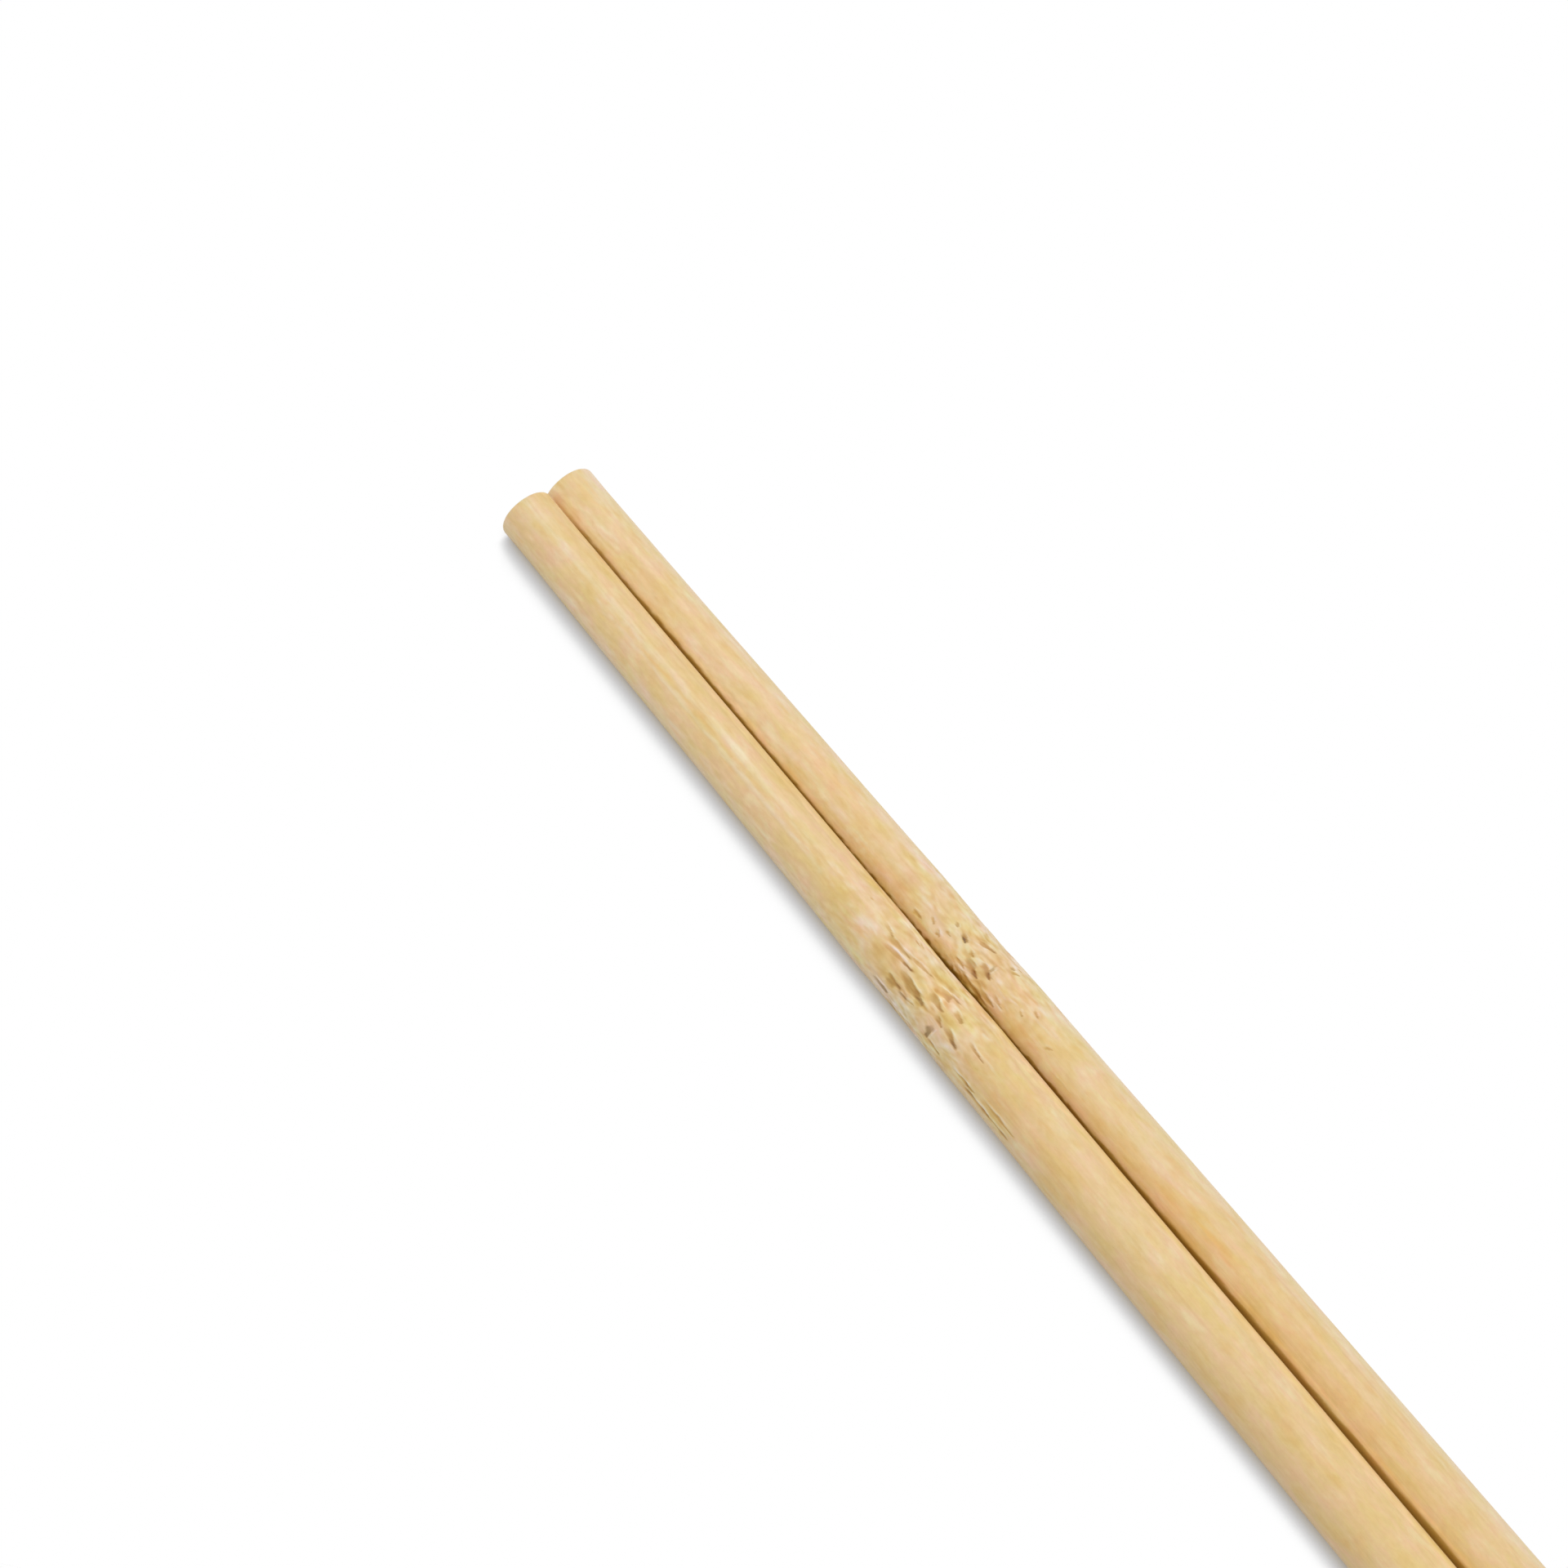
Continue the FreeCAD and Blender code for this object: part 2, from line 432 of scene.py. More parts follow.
def scattered_tears(name):
    """Tears like the placed ones on the far side, and small ones all round."""
    rng = random.Random(SEEDS[name])
    middle = knuckle_from_tip + 1
    tears = []
    for _ in range(FAR_SIDE_TEARS):
        tears.append(Tear(rng.gauss(middle, 2.6), rng.uniform(*FAR_SIDE[name]), rng.uniform(0.6, 2.6),
                          rng.uniform(0.14, 0.42), rng.uniform(0.04, 0.11), rng.gauss(3, 9),
                          rng.choice(("ochre", "brown", "grey"))))
    for _ in range(SMALL_TEARS):
        tears.append(Tear(rng.gauss(middle, 4.5), rng.uniform(0, 360), rng.uniform(0.3, 0.9),
                          rng.uniform(0.10, 0.17), rng.uniform(0.02, 0.04), rng.gauss(0, 12), "ochre"))
    return tears


# %% [markdown]
# ## From a mark's row to its shape
# A mark could be cut with a knife tool or painted as a picture. Here a formula gives its strength at
# every point of the skin, so it can move the mesh and tint it at once, and a row of the lists above
# is all that a new tear takes. The skin is a dictionary of arrays: each point's x, radius and angle,
# and two slow noises, `wander` and `stray`, that keep the edges ragged.

# %% Measure a mark on the skin
def smooth_step(t):
    t = np.clip(t, 0, 1)
    return t * t * (3 - 2 * t)


def on_mark(skin, mark, slant=0, sideways=0.0):
    """Places along and across a mark, 0 at its middle and in mm, for every point of the skin."""
    turn = math.radians(slant)
    along = skin["x"] - mark.x
    round_by = (skin["angle"] - math.radians(mark.angle) + math.pi) % (2 * math.pi) - math.pi
    across = round_by * skin["radius"]
    u = along * math.cos(turn) + across * math.sin(turn)
    w = across * math.cos(turn) - along * math.sin(turn) - sideways
    return u, w


# %% The shape of a tear, a lifted fibre and a patch
CRISP_SIDE = 3.5
SOFT_SIDE = 1.6


def tear_shape(skin, tear):
    """How deep one tear is at each point, from 0 outside it to 1 at its deepest, and its dark point."""
    u, w = on_mark(skin, tear, tear.slant)
    u = (u + 0.5 * tear.width * skin["wander"]) / tear.length + 0.5
    w = (w + (0.3 * tear.width + 0.04) * skin["stray"]) / (0.5 * tear.width)
    breadth = 0.25 + 0.95 * smooth_step(u / 0.30) * (1 - 0.70 * smooth_step((u - 0.38) / 0.62))
    ramp = smooth_step(u / 0.50) * smooth_step((1.05 - u) / 0.12)
    crispness = np.where(w < 0, CRISP_SIDE, SOFT_SIDE)
    shape = ramp * smooth_step(crispness * (1 - np.abs(w) / breadth))
    return shape, shape * smooth_step((u - 0.55) / 0.35)


def ridge_shape(skin, ridge, width, sideways=0.0):
    """How far one lifted fibre, or a tear's lip, stands proud: 0 beside it and 1 on its crest."""
    u, w = on_mark(skin, ridge, ridge.slant, sideways)
    u = (u + 0.3 * skin["wander"]) / (0.5 * ridge.length)
    w = (w + 0.1 * skin["stray"]) / (0.5 * width)
    return smooth_step(1.5 * (1 - np.abs(u))) * smooth_step(1 - np.abs(w))


def patch_shape(skin, patch):
    """The weight of one soft patch, from 0 far from it to 1 in its middle."""
    u, w = on_mark(skin, patch)
    u = u / (0.5 * patch.length) + 0.9 * skin["wander"]
    w = w / (0.5 * patch.width) + 0.9 * skin["stray"]
    return np.exp(-(u ** 2 + w ** 2) ** 1.5)


# %% [markdown]
# Sanding took the rims off the tears, so each keeps only part of its depth. Along one side of every
# tear runs its lip, a narrow ridge of pale fibre, whose pale tint is partly a painted highlight.

# %% All the tears, lips, lifted fibres and patches of one stick
DEPTH_LEFT = 0.65
LIP_WIDTH = 0.20
LIP_HEIGHT = 0.028


def torn(name, skin):
    """How far the skin stands proud, how deep it is torn, and the tint of both, at every point."""
    proud = np.zeros(len(skin["x"]))
    depth = np.zeros(len(skin["x"]))
    tint = np.zeros((len(skin["x"]), 3))
    for tear in [*TEARS[name], *scattered_tears(name)]:
        near = np.abs(skin["x"] - tear.x) < tear.length
        close = {key: values[near] for key, values in skin.items()}
        shape, point = tear_shape(close, tear)
        lip = ridge_shape(close, tear, LIP_WIDTH, -0.5 * (tear.width + LIP_WIDTH)) * (1 - shape)
        depth[near] = np.maximum(depth[near], DEPTH_LEFT * shape * tear.depth)
        proud[near] += LIP_HEIGHT * lip
        # Each tear's tint is torn fibre with painted shade; grey on its deep point is painted shade, and pale
        # on its lip is pale fibre with a painted highlight
        tint[near] += tinted(shape, tear.tint) + tinted(0.45 * point, "grey") + tinted(0.9 * lip, "pale_and_painted_highlight")
    for ridge in RIDGES[name]:
        shape = ridge_shape(skin, ridge, ridge.width)
        proud += ridge.height * shape
        # pale on a lifted fibre: partly pale fibre, partly a painted highlight
        tint += tinted(0.8 * shape, "pale_and_painted_highlight")
    return proud, depth, tint


def stains_and_painted_light(name, skin):
    """The tint of all the soft patches together: stains, paler wood and painted light."""
    return sum(tinted(patch.strength * patch_shape(skin, patch), patch.tint) for patch in PATCHES[name])


# %% [markdown]
# ## The outline
# Seen in outline, the knuckle is two low crowns with a waist between them, and the cut tip flares
# a hair's breadth where the fibres spread. More rings of the cone could be scaled by hand, but bell
# curves along the stick run out smoothly, and each keeps its height and its reach in one place.

# %% The outline of the knuckle and of the tip
TIP_FLARE = 0.045
FLARE_LENGTH = 1.6


def slow_profile(x):
    """How far the skin stands off the taper: two crowns with a waist between, and a flared tip."""
    from_waist = (x - knuckle_from_tip) / (crown_spacing / 2)
    crowns = np.exp(-((from_waist - 1) / 0.42) ** 2) + np.exp(-((from_waist + 1) / 0.42) ** 2)
    waist = np.exp(-(from_waist / 0.52) ** 2)
    flare = np.exp(-(x / FLARE_LENGTH) ** 2)
    return crown_height * crowns - waist_depth * waist + TIP_FLARE * flare


def noise_field(points, along, across, seed):
    """Perlin noise at each point, with its own scale along and across the stick."""
    shift = Vector((seed * 3.7, seed * 1.3, seed * 2.1))
    scaled = points * (along, across, across)
    return np.array([noise.noise(Vector(place) + shift) for place in scaled])


# %% [markdown]
# Around the tears the whole band is felted: short fibres lie over each other like feathers. Noise
# that is stretched along the stick and pushed sideways by a slower noise gives that look. Its hollows
# are tinted ochre and its crests pale, a painted shade and a painted highlight that follow the relief.

# %% The felted band
FELT_HEIGHT = 0.042
FELT_MIDDLE = 46.3
FELT_REACH = 3.4


def felted(points, seed):
    """How far the felt lifts the skin, its tint, and the points pushed sideways."""
    push = noise_field(points, 0.5, 0.9, seed + 5)
    pushed = points + np.outer(push, (0.0, 0.55, 0.55))
    relief = noise_field(pushed, 1.1, 3.0, seed + 6) + 0.5 * noise_field(pushed, 2.3, 6.0, seed + 7)
    patchy = np.clip(0.75 + 0.9 * noise_field(points, 0.6, 0.6, seed + 8), 0, 1)
    band = patchy * np.exp(-np.abs((points[:, 0] - FELT_MIDDLE) / FELT_REACH) ** 2.5)
    # painted shade in the hollows and painted highlight on the crests
    hollows = 0.9 * band * np.clip(-1.4 * relief, 0, 1)
    crests = 0.6 * band * np.clip(1.4 * relief, 0, 1)
    return FELT_HEIGHT * relief * band, tinted(hollows, "ochre") + tinted(crests, "pale_and_painted_highlight"), pushed


# %% [markdown]
# Away from the tears the colour drifts slowly between a rosy and a yellow straw, and at the knuckle
# it drifts more. There the sander also left smudges, paler and darker, that follow the felt.

# %% The drift of the colour
HUE_DRIFT = 0.9
KNUCKLE_DRIFT = 1.1
KNUCKLE_REACH = 9.0


def drifting(points, pushed, seed):
    """The tint of the slow drift, and of the smudges at the knuckle."""
    around = np.exp(-((points[:, 0] - knuckle_from_tip) / KNUCKLE_REACH) ** 4)
    hue = (HUE_DRIFT + KNUCKLE_DRIFT * around) * noise_field(points, 0.5, 1.1, seed + 9)
    smudge = noise_field(pushed, 0.9, 1.8, seed + 10) + 0.6 * noise_field(pushed, 2.0, 4.0, seed + 12)
    smudge *= around
    tint = tinted(np.clip(smudge, 0, 1), "pale_and_painted_highlight") + tinted(0.6 * np.clip(-smudge, 0, 1), "ochre")
    return tint + tinted(np.clip(hue, 0, 1), "pink") + tinted(np.clip(-hue, 0, 1), "yellow")


# %% [markdown]
# The cleft between the sticks is so narrow that hardly any light gets in, and that line of brown is
# what separates them in the picture. A tint deepens it, by how near the other stick is. Just outside
# the cleft the two sticks throw light at each other, and the bamboo is a little brighter there. At the
# tips light gets in from the front as well, so there the tint works the other way. Each list below
# gives values by the distance from the tip, and between two of them the value changes evenly.

# %% The cleft
CLEFT_WIDTHS = {0: 0.28, 3: 0.38, 15: 0.43, 26: 0.39, 36: 0.33, 44: 0.34, 60: 0.41, 75: 0.52, 100: 0.62}
CLEFT_DEPTHS = {0: -0.35, 2: -0.25, 4.5: 0.5, 12: 0.8, 26: 1.0, 34: 1.3, 46: 1.4, 54: 1.35, 66: 1.05,
                78: 0.85}
CLEFT_RAGGED = 0.08
GLOW = {0: 0.6, 12: 1.2, 20: 1.8, 28: 1.8, 36: 0.8, 46: 0.8, 54: 0.3, 66: 1.1, 78: 2.0}
GLOW_BESIDE = 0.14
GLOW_REACH = 0.16
NEIGHBOUR_SIDE = {"left_chopstick": 1, "right_chopstick": -1}


def along_stick(x, values):
    """Reads a list of values, given by their distance from the tip, at every x."""
    return np.interp(x, list(values.keys()), list(values.values()))


def cleft(points, side, apart, ragged):
    """The tint of the cleft and of the light that is thrown across it."""
    x, y, z = points.T
    to_neighbour = np.hypot(y - side * (apart[0] + (apart[1] - apart[0]) * x / stick_length), z)
    clearance = np.clip(to_neighbour - taper_radius(x) + CLEFT_RAGGED * ragged, 0, None)
    width = along_stick(x, CLEFT_WIDTHS)
    dark = along_stick(x, CLEFT_DEPTHS) * np.exp(-(clearance / width) ** 12)
    glow = along_stick(x, GLOW) * np.exp(-((clearance - width - GLOW_BESIDE) / GLOW_REACH) ** 2)
    return tinted(dark, "cleft") + tinted(glow, "painted_light")


# %% [markdown]
# ## Sculpt the knuckle and the grain
# The finished rod's points are read into an array, and each is moved in or out along its own radius:
# by the outline, by slow unevenness from sanding, by shallow fibre ridges, and by the felt, the tears
# and the lips beside them. The flat ends get faint saw marks instead. The tint of each point is stored
# as an attribute for the material. A displacement modifier could move the points too, but not tear
# them and tint them from the same formula.

# %% Move the points
UNEVEN = 0.022
FIBRE_RIDGES = 0.010
SAW_MARKS = 0.02
END_THICKNESS = 0.02
BUTT_FADE = 1.5


def skin_of(points, seed):
    """What the marks need to know about every point."""
    x, y, z = points.T
    return {"x": x, "radius": np.hypot(y, z), "angle": np.arctan2(z, y),
            "wander": noise_field(points, 2.2, 4.0, seed + 2),
            "stray": noise_field(points, 1.2, 3.2, seed + 3)}


def sculpt(name, points, apart):
    """Moves the rod's points and returns them with the attributes that go with them."""
    seed = SEEDS[name]
    x, y, z = points.T
    skin = skin_of(points, seed)
    felt_height, felt_tint, pushed = felted(points, seed)
    proud, depth, torn_tint = torn(name, skin)
    move = slow_profile(x) + UNEVEN * noise_field(points, 0.10, 0.25, seed)
    move += FIBRE_RIDGES * noise_field(points, 0.05, 2.6, seed + 1) + felt_height + proud
    log_tint = felt_tint + torn_tint + stains_and_painted_light(name, skin) + drifting(points, pushed, seed)
    log_tint += cleft(points, NEIGHBOUR_SIDE[name], apart, skin["wander"])
    on_side = skin["radius"] > taper_radius(x) - 0.6 * butt_edge_radius
    ends = (x < END_THICKNESS) | (x > stick_length - END_THICKNESS)
    fade = smooth_step((stick_length - x) / BUTT_FADE)
    scale = np.where(on_side & ~ends, 1 + (fade * move - depth) / np.maximum(skin["radius"], 0.1), 1)
    inward = np.where(x < stick_length / 2, 1, -1) * ends
    moved_x = x + SAW_MARKS * inward * (0.5 + 0.5 * noise_field(points, 1.0, 1.7, seed + 4))
    return np.column_stack([moved_x, y * scale, z * scale]), np.exp(log_tint), ends


# %% [markdown]
# ## Lay each stick where its solid lies
# A stick's axis is read from the imported solid: the middle of the points near each end. The mesh gets
# its place, its tilt and its scale in one matrix, while the object itself stays at the origin. Each
# finished stick then rides on the same body as its plain solid and replaces it.

# %% Where a stick lies
NEAR_END = 0.2 * MM


def end_centre(node, end):
    """The middle of a CAD stick's end, in metres: end 0 is the tip and 1 the butt."""
    corners = [v.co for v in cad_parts[node].data.vertices]
    low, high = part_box(node)
    x_end = (low.x, high.x)[end]
    near = [c for c in corners if abs(c.x - x_end) < NEAR_END]
    return Vector([(min(c[i] for c in near) + max(c[i] for c in near)) / 2 for i in range(3)])


def lying_place(node):
    """The matrix from a stick's own millimetres to the model's metres."""
    tip, butt = end_centre(node, 0), end_centre(node, 1)
    axis = (butt - tip).normalized()
    sideways = Vector((0, 0, 1)).cross(axis).normalized()
    upward = axis.cross(sideways)
    turn = Matrix((axis, sideways, upward)).transposed().to_4x4()
    middle = (tip + butt) / 2
    return Matrix.Translation(middle - axis * stick_length * MM / 2) @ turn @ Matrix.Scale(MM, 4)


def apart_at(end):
    """Distance between the two sticks' axes at one end, in millimetres."""
    left, right = (end_centre(node, end) for node in STICKS)
    return (right.y - left.y) / MM


axes_apart = (apart_at(0), apart_at(1))
print(f"axes apart at the tips and the butts: {axes_apart[0]:.3f} and {axes_apart[1]:.3f} mm")


# %% Build both sticks
def add_attribute(mesh, name, kind, key, values):
    attribute = mesh.attributes.new(name, kind, "POINT")
    attribute.data.foreach_set(key, np.asarray(values, np.float32).ravel())


def build_stick(node):
    """A finished stick as an object at the origin, standing for its CAD node."""
    bm = plain_rod()
    mesh = bpy.data.meshes.new(node + "_bamboo")
    bm.to_mesh(mesh)
    bm.free()
    points = np.empty(len(mesh.vertices) * 3)
    mesh.vertices.foreach_get("co", points)
    moved, tint, ends = sculpt(node, points.reshape(-1, 3), axes_apart)
    mesh.vertices.foreach_set("co", moved.ravel())
    add_attribute(mesh, "grain", "FLOAT_VECTOR", "vector", moved)
    add_attribute(mesh, "tint", "FLOAT_COLOR", "color", np.column_stack([tint, np.ones(len(tint))]))
    add_attribute(mesh, "sawn", "FLOAT", "value", ends)
    mesh.transform(lying_place(node))
    mesh.polygons.foreach_set("use_smooth", [True] * len(mesh.polygons))
    mesh.update()
    stick = bpy.data.objects.new(node + "_bamboo", mesh)
    bpy.context.scene.collection.objects.link(stick)
    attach(stick, "root")
    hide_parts(node)
    print(node, len(mesh.vertices), "points,", sum(len(p.vertices) - 2 for p in mesh.polygons), "triangles")
    return stick


sticks = [build_stick(node) for node in STICKS]

# %% [markdown]
# ## Bamboo as a material
# Bamboo has no growth rings. Its look comes from fibre bundles that run the whole length: on the side
# they show as fine straight lines, and on a sawn end as dots. One solid pattern gives both, if it is
# stretched along the stick and read from the stick's own millimetres (the `grain` attribute). A flat
# picture wrapped round the stick would show a seam and could not give the end grain.

# %% Small helpers for shader nodes
def add_node(tree, kind, **inputs):
    node = tree.nodes.new(kind)
    for key, value in inputs.items():
        node.inputs[key.replace("_", " ")].default_value = value
    return node


def set_or_link(tree, socket, value, plain):
    if isinstance(value, bpy.types.NodeSocket):
        tree.links.new(value, socket)
    else:
        socket.default_value = plain(value)


def maths(tree, operation, *values):
    node = tree.nodes.new("ShaderNodeMath")
    node.operation = operation
    for socket, value in zip(node.inputs, values):
        set_or_link(tree, socket, value, float)
    return node.outputs[0]


def attribute_of(tree, name, output):
    node = tree.nodes.new("ShaderNodeAttribute")
    node.attribute_name = name
    return node.outputs[output]


# %% Patterns, and colours made from them
def stretched(tree, source, along, across, shift):
    """The grain coordinates scaled apart along and across the fibre."""
    mapping = add_node(tree, "ShaderNodeMapping", Location=(shift, shift * 0.7, shift * 1.9),
                       Scale=(along, across, across))
    tree.links.new(source, mapping.inputs["Vector"])
    return mapping.outputs["Vector"]


def noise_on(tree, vector, detail, roughness):
    texture = add_node(tree, "ShaderNodeTexNoise", Scale=1.0, Detail=detail, Roughness=roughness)
    tree.links.new(vector, texture.inputs["Vector"])
    return texture.outputs["Fac"]


def cells_on(tree, vector):
    """Distance from the nearest of many scattered points: small inside a fibre bundle."""
    texture = add_node(tree, "ShaderNodeTexVoronoi", Scale=1.0)
    tree.links.new(vector, texture.inputs["Vector"])
    return texture.outputs["Distance"]


def ramp_on(tree, fac, stops):
    ramp = tree.nodes.new("ShaderNodeValToRGB")
    elements = ramp.color_ramp.elements
    while len(elements) < len(stops):
        elements.new(0.5)
    for element, (position, colour) in zip(elements, stops):
        element.position = position
        element.color = (*colour, 1)
    tree.links.new(fac, ramp.inputs["Fac"])
    return ramp.outputs["Color"]


def blend(tree, mode, fac, first, second):
    """Mixes two colours. fac, first and second may be sockets or plain values."""
    mix = tree.nodes.new("ShaderNodeMix")
    mix.data_type = "RGBA"
    mix.blend_type = mode
    set_or_link(tree, mix.inputs[0], fac, float)
    set_or_link(tree, mix.inputs[6], first, lambda colour: (*colour, 1))
    set_or_link(tree, mix.inputs[7], second, lambda colour: (*colour, 1))
    return mix.outputs[2]


# %% The colours of bamboo
STRAW = (0.790, 0.575, 0.278)
HONEY = (0.770, 0.532, 0.222)
CREAM = (0.820, 0.638, 0.350)
ROSE = (0.808, 0.560, 0.300)
GOLD_SHADE = (0.975, 0.980, 0.91)
PINK_SHADE = (1.0, 0.955, 0.970)
FIBRE_SHADE = (0.86, 0.80, 0.70)
SAND_SHADE = (0.955, 0.945, 0.92)
BUNDLE_SHADE = (0.62, 0.46, 0.28)
WHITE = (1, 1, 1)

# %% [markdown]
# The colour is built in layers, each a pattern that shades what lies under it: soft blotches of four
# straw tones, a mottle of gold and pink, long streaks, fine fibres, the speckle that sanding leaves,
# and the fibre bundles, which are faint on the sides and strong on the sawn ends. The tint of the
# sculpted marks comes last, and with it the painted shade and painted light that the tint holds. The
# fibres also raise a slight bump, and the streaks vary the gloss of the bare, unvarnished surface.

# %% The bamboo
STREAK_WEIGHT = 0.12
FIBRE_WEIGHT = 0.16
BUNDLES_ON_SIDES = 0.10
BUNDLES_ON_ENDS = 0.80
GLOSSIEST = 0.32
GLOSS_RANGE = 0.20
FIBRE_BUMP = 0.04 * MM


def shaded(tree, colour, weight, pattern, stops):
    """The colour multiplied by what the stops make of a pattern."""
    return blend(tree, "MULTIPLY", weight, colour, ramp_on(tree, pattern, stops))


def bamboo(name, shift):
    material = bpy.data.materials.new(name)
    material.use_nodes = True
    tree = material.node_tree
    shader = tree.nodes["Principled BSDF"]
    grain = attribute_of(tree, "grain", "Vector")
    blotches = noise_on(tree, stretched(tree, grain, 0.34, 0.9, shift), 3.0, 0.5)
    mottle = noise_on(tree, stretched(tree, grain, 0.62, 1.0, shift + 3), 3.0, 0.55)
    streaks = noise_on(tree, stretched(tree, grain, 0.07, 2.2, shift + 5), 4.0, 0.6)
    fibres = noise_on(tree, stretched(tree, grain, 0.45, 6.0, shift + 9), 3.0, 0.65)
    sand = noise_on(tree, stretched(tree, grain, 1.5, 3.2, shift + 11), 3.0, 0.65)
    bundles = cells_on(tree, stretched(tree, grain, 0.012, 2.4, shift + 13))
    colour = ramp_on(tree, blotches, ((0.34, HONEY), (0.48, STRAW), (0.58, ROSE), (0.70, CREAM)))
    colour = shaded(tree, colour, 1.0, mottle, ((0.36, GOLD_SHADE), (0.50, WHITE), (0.64, PINK_SHADE)))
    colour = shaded(tree, colour, STREAK_WEIGHT, streaks, ((0.36, FIBRE_SHADE), (0.60, WHITE)))
    colour = shaded(tree, colour, FIBRE_WEIGHT, fibres, ((0.38, FIBRE_SHADE), (0.60, WHITE)))
    colour = shaded(tree, colour, 1.0, sand, ((0.36, SAND_SHADE), (0.60, WHITE)))
    bundle_weight = maths(tree, "MULTIPLY_ADD", attribute_of(tree, "sawn", "Fac"),
                          BUNDLES_ON_ENDS - BUNDLES_ON_SIDES, BUNDLES_ON_SIDES)
    colour = shaded(tree, colour, bundle_weight, bundles, ((0.10, BUNDLE_SHADE), (0.34, WHITE)))
    # the tint: the marks' own colours, with painted shade and painted light
    colour = blend(tree, "MULTIPLY", 1.0, colour, attribute_of(tree, "tint", "Color"))
    tree.links.new(colour, shader.inputs["Base Color"])
    tree.links.new(maths(tree, "MULTIPLY_ADD", streaks, GLOSS_RANGE, GLOSSIEST), shader.inputs["Roughness"])
    bump = add_node(tree, "ShaderNodeBump", Strength=0.30, Distance=FIBRE_BUMP)
    tree.links.new(fibres, bump.inputs["Height"])
    tree.links.new(bump.outputs["Normal"], shader.inputs["Normal"])
    return material


for number, stick in enumerate(sticks):
    stick.data.materials.append(bamboo(stick.name, 31.0 * number))
    print("finished", stick.name)

# %% [markdown]
# ## The white surface
# The sticks lie on a plain sheet under an even white sky, so the only shadow is a narrow soft one
# along the near side. Under such a sky a shadow is simply where less of the sky is open, which the
# Ambient Occlusion node measures, so what the camera sees of the sheet is drawn from that: white where
# the sky is open, grey near the sticks, and a warmer grey beside them, where their colour falls on it.
# The shadow is widest and softest beside the tips, so the distance over which the node looks and the
# shades it is drawn in both change along the sticks. For all other light the sheet is plain grey card.

# %% The shades of the shadow, by how open the sky is
REACH_AT_TIPS = 4.0 * MM
REACH_FAR_BACK = 3.1 * MM
FAR_BACK = 90 * MM
TIPS_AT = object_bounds()[0][0]
SHADES_IN_CONTACT = ((0.0, (0.08, 0.065, 0.05)), (0.16, (0.34, 0.30, 0.245)), (0.25, (0.46, 0.42, 0.36)),
                     (0.31, (0.50, 0.48, 0.455)))
SHADES_AT_TIPS = ((0.37, (0.545, 0.53, 0.52)), (0.43, (0.595, 0.585, 0.585)), (0.51, (0.70, 0.70, 0.70)),
                  (0.58, (0.82, 0.82, 0.82)), (0.62, (0.92, 0.92, 0.92)), (0.65, (1.0, 1.0, 1.0)))
SHADES_FAR_BACK = ((0.36, (0.565, 0.555, 0.545)), (0.435, (0.69, 0.68, 0.68)), (0.50, (0.82, 0.82, 0.82)),
                   (0.55, (0.93, 0.93, 0.93)), (0.59, (0.98, 0.98, 0.98)), (0.62, (1.0, 1.0, 1.0)))


def how_far_back(tree):
    """0 at the tips, rising to 1 at the distance FAR_BACK behind them."""
    place = tree.nodes.new("ShaderNodeSeparateXYZ")
    tree.links.new(tree.nodes.new("ShaderNodeTexCoord").outputs["Object"], place.inputs["Vector"])
    back = add_node(tree, "ShaderNodeMapRange", From_Min=TIPS_AT, From_Max=TIPS_AT + FAR_BACK)
    tree.links.new(place.outputs["X"], back.inputs["Value"])
    return back.outputs["Result"]


def shadow_colour(tree):
    back = how_far_back(tree)
    open_sky = tree.nodes.new("ShaderNodeAmbientOcclusion")
    reach = maths(tree, "MULTIPLY_ADD", back, REACH_FAR_BACK - REACH_AT_TIPS, REACH_AT_TIPS)
    tree.links.new(reach, open_sky.inputs["Distance"])
    at_tips = ramp_on(tree, open_sky.outputs["AO"], SHADES_IN_CONTACT + SHADES_AT_TIPS)
    far_back = ramp_on(tree, open_sky.outputs["AO"], SHADES_IN_CONTACT + SHADES_FAR_BACK)
    return blend(tree, "MIX", back, at_tips, far_back)


# %% The sheet they lie on
SHEET_HALF = 3.0
SHEET_CARD = (0.50, 0.50, 0.50, 1)


def camera_ray(tree):
    """1 for what the camera sees directly, in a mirror or through glass, and 0 for lighting."""
    path = tree.nodes.new("ShaderNodeLightPath")
    seen = maths(tree, "MAXIMUM", path.outputs["Is Camera Ray"], path.outputs["Is Glossy Ray"])
    return maths(tree, "MAXIMUM", seen, path.outputs["Is Transmission Ray"])


def sheet_material():
    material = bpy.data.materials.new("sheet")
    material.use_nodes = True
    material.cycles.emission_sampling = "NONE"
    tree = material.node_tree
    tree.nodes.remove(tree.nodes["Principled BSDF"])
    card = add_node(tree, "ShaderNodeBsdfDiffuse", Color=SHEET_CARD)
    seen = tree.nodes.new("ShaderNodeEmission")
    tree.links.new(shadow_colour(tree), seen.inputs["Color"])
    mix = tree.nodes.new("ShaderNodeMixShader")
    tree.links.new(camera_ray(tree), mix.inputs[0])
    tree.links.new(card.outputs["BSDF"], mix.inputs[1])
    tree.links.new(seen.outputs["Emission"], mix.inputs[2])
    tree.links.new(mix.outputs["Shader"], tree.nodes["Material Output"].inputs["Surface"])
    return material


def white_sheet():
    bm = bmesh.new()
    bmesh.ops.create_grid(bm, x_segments=1, y_segments=1, size=SHEET_HALF)
    mesh = bpy.data.meshes.new("sheet")
    bm.to_mesh(mesh)
    bm.free()
    mesh.materials.append(sheet_material())
    sheet = bpy.data.objects.new("sheet", mesh)
    bpy.context.scene.collection.objects.link(sheet)


white_sheet()

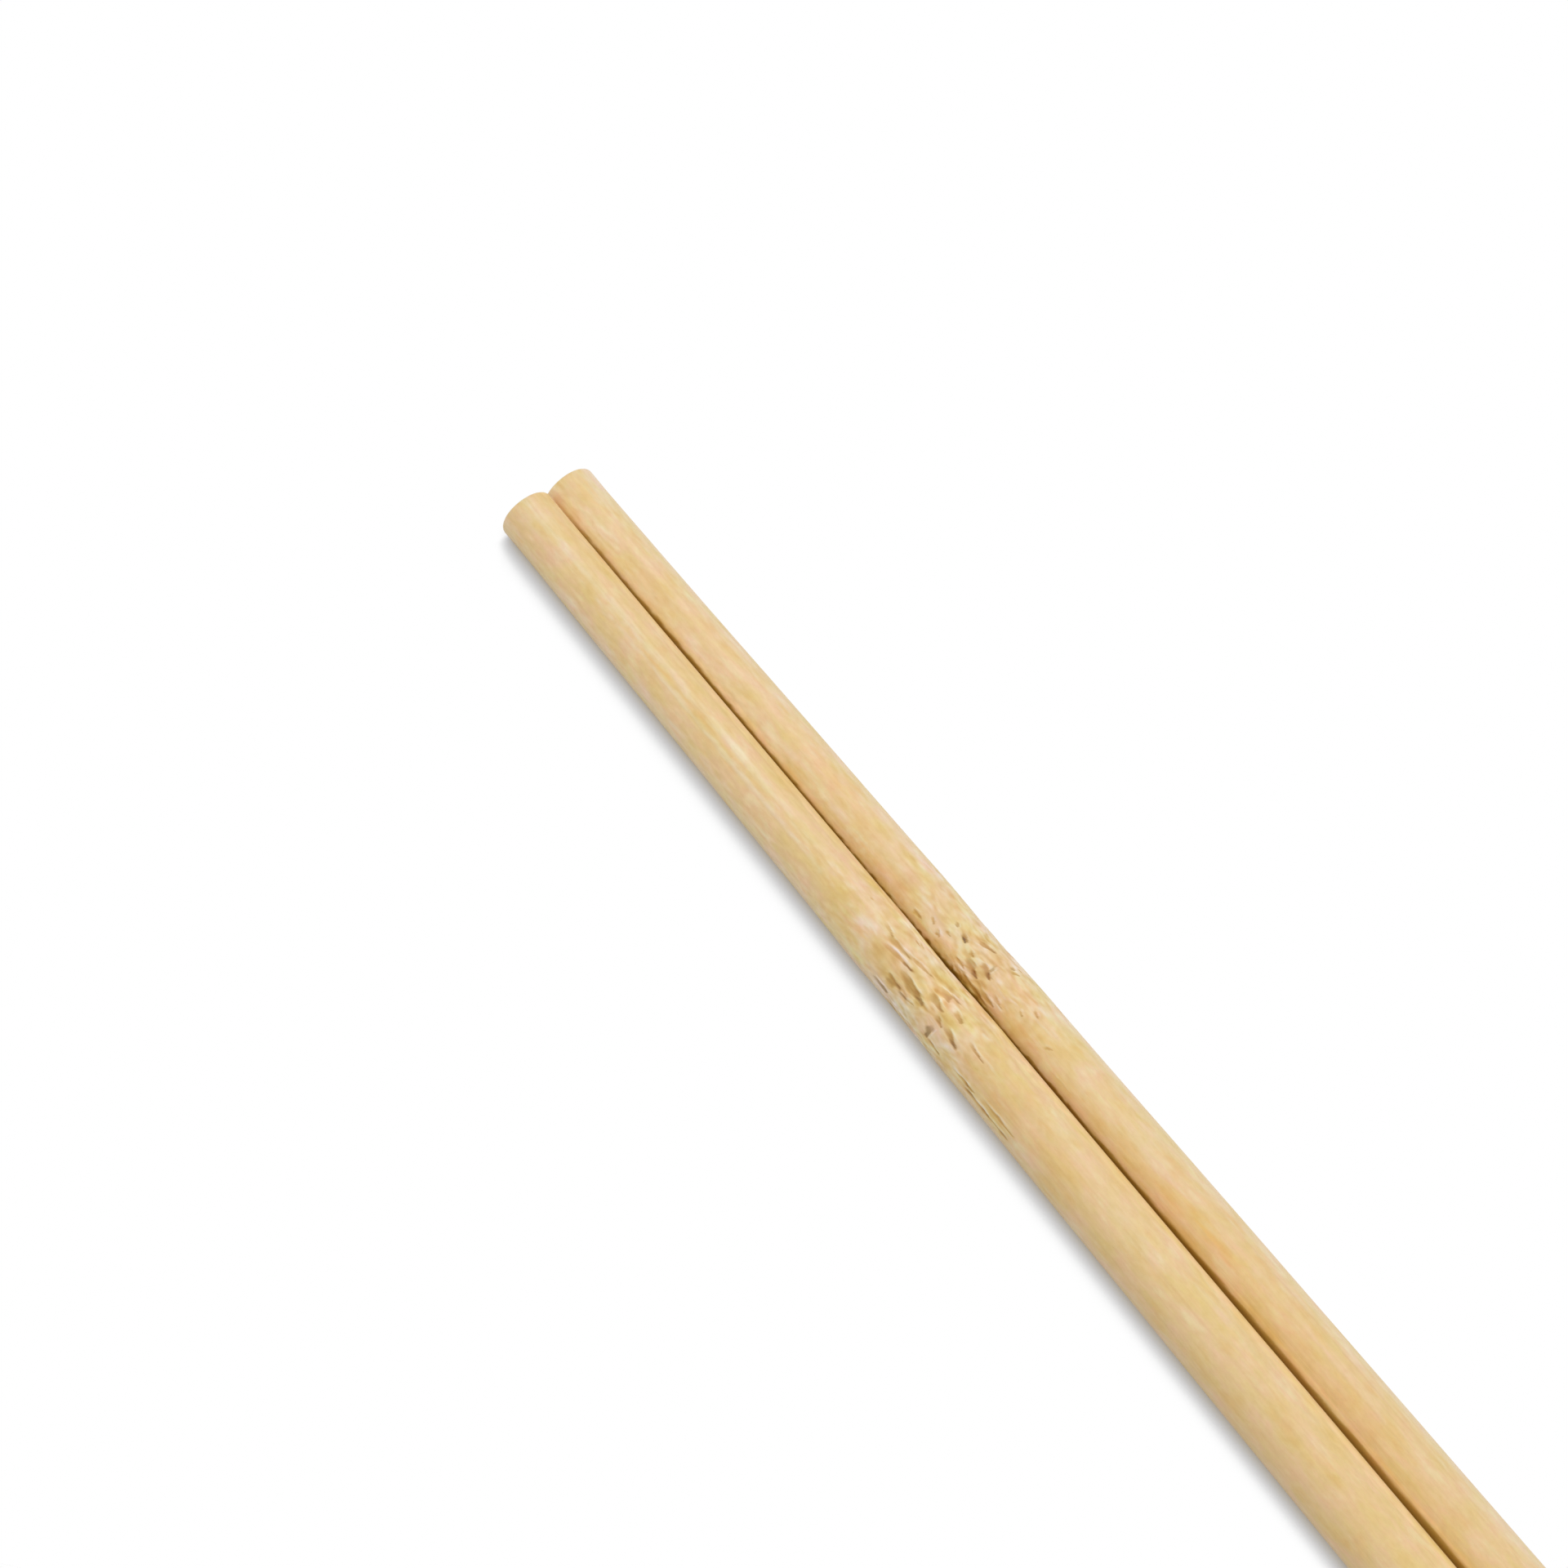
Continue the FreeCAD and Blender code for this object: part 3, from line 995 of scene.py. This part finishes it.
# %% [markdown]
# ## The light
# Most of the light comes evenly from the sky, which the camera sees as plain white. Two soft round
# lamps model the sticks' roundness: the key lamp stands high in front of the tips and a little to the
# right stick's side, and a weaker fill lamp stands on the left stick's side. Both are far softer than
# a sun lamp, whose sharp shadows this bare surface doesn't show.

# %% The sky and the lamps
SKY = 0.80


def white_sky():
    world = bpy.data.worlds.new("studio")
    bpy.context.scene.world = world
    world.use_nodes = True
    tree = world.node_tree
    background = tree.nodes["Background"]
    background.inputs["Color"].default_value = (1, 1, 1, 1)
    tree.links.new(maths(tree, "MULTIPLY_ADD", camera_ray(tree), 1 - SKY, SKY), background.inputs["Strength"])


def soft_lamp(name, place, size, power):
    """A round lamp at place, turned towards the sticks."""
    lamp = bpy.data.lights.new(name, "AREA")
    lamp.shape = "DISK"
    lamp.size = size
    lamp.energy = power
    holder = bpy.data.objects.new(name, lamp)
    holder.location = place
    holder.rotation_euler = (-Vector(place)).to_track_quat("-Z", "Y").to_euler()
    bpy.context.scene.collection.objects.link(holder)


white_sky()
soft_lamp("key", place=(-0.40, 0.15, 0.88), size=0.46, power=1.85)
soft_lamp("fill", place=(-0.20, -0.70, 0.70), size=0.60, power=0.7)

# %% [markdown]
# ## The camera
# The camera's place was fitted to the edges of both sticks. It looks down steeply from the side of
# the left stick, and it is rolled, which makes the pair run from corner to corner.

# %% The camera
CAMERA_AIM = Vector((-92.486, 0.053, 2.0)) * MM
CAMERA_DISTANCE = 222.53 * MM
CAMERA_YAW = math.radians(27.51)
CAMERA_PITCH = math.radians(48.78)
CAMERA_ROLL = math.radians(28.72)
CAMERA_LENS = 75.0
SENSOR_WIDTH = 36.0
CLIP_START = 10 * MM


def place_camera():
    right = Vector((math.cos(CAMERA_YAW), math.sin(CAMERA_YAW), 0))
    level_back = Vector((math.sin(CAMERA_YAW), -math.cos(CAMERA_YAW), 0))
    back = level_back * math.cos(CAMERA_PITCH) + Vector((0, 0, math.sin(CAMERA_PITCH)))
    rolled_right = math.cos(CAMERA_ROLL) * right + math.sin(CAMERA_ROLL) * back.cross(right)
    data = bpy.data.cameras.new("camera")
    data.lens = CAMERA_LENS
    data.sensor_width = SENSOR_WIDTH
    data.clip_start = CLIP_START
    camera = bpy.data.objects.new("camera", data)
    turn = Matrix((rolled_right, back.cross(rolled_right), back)).transposed().to_4x4()
    camera.matrix_world = Matrix.Translation(CAMERA_AIM + CAMERA_DISTANCE * back) @ turn
    bpy.context.scene.collection.objects.link(camera)
    bpy.context.scene.camera = camera


place_camera()
bpy.context.scene.view_settings.view_transform = "Standard"
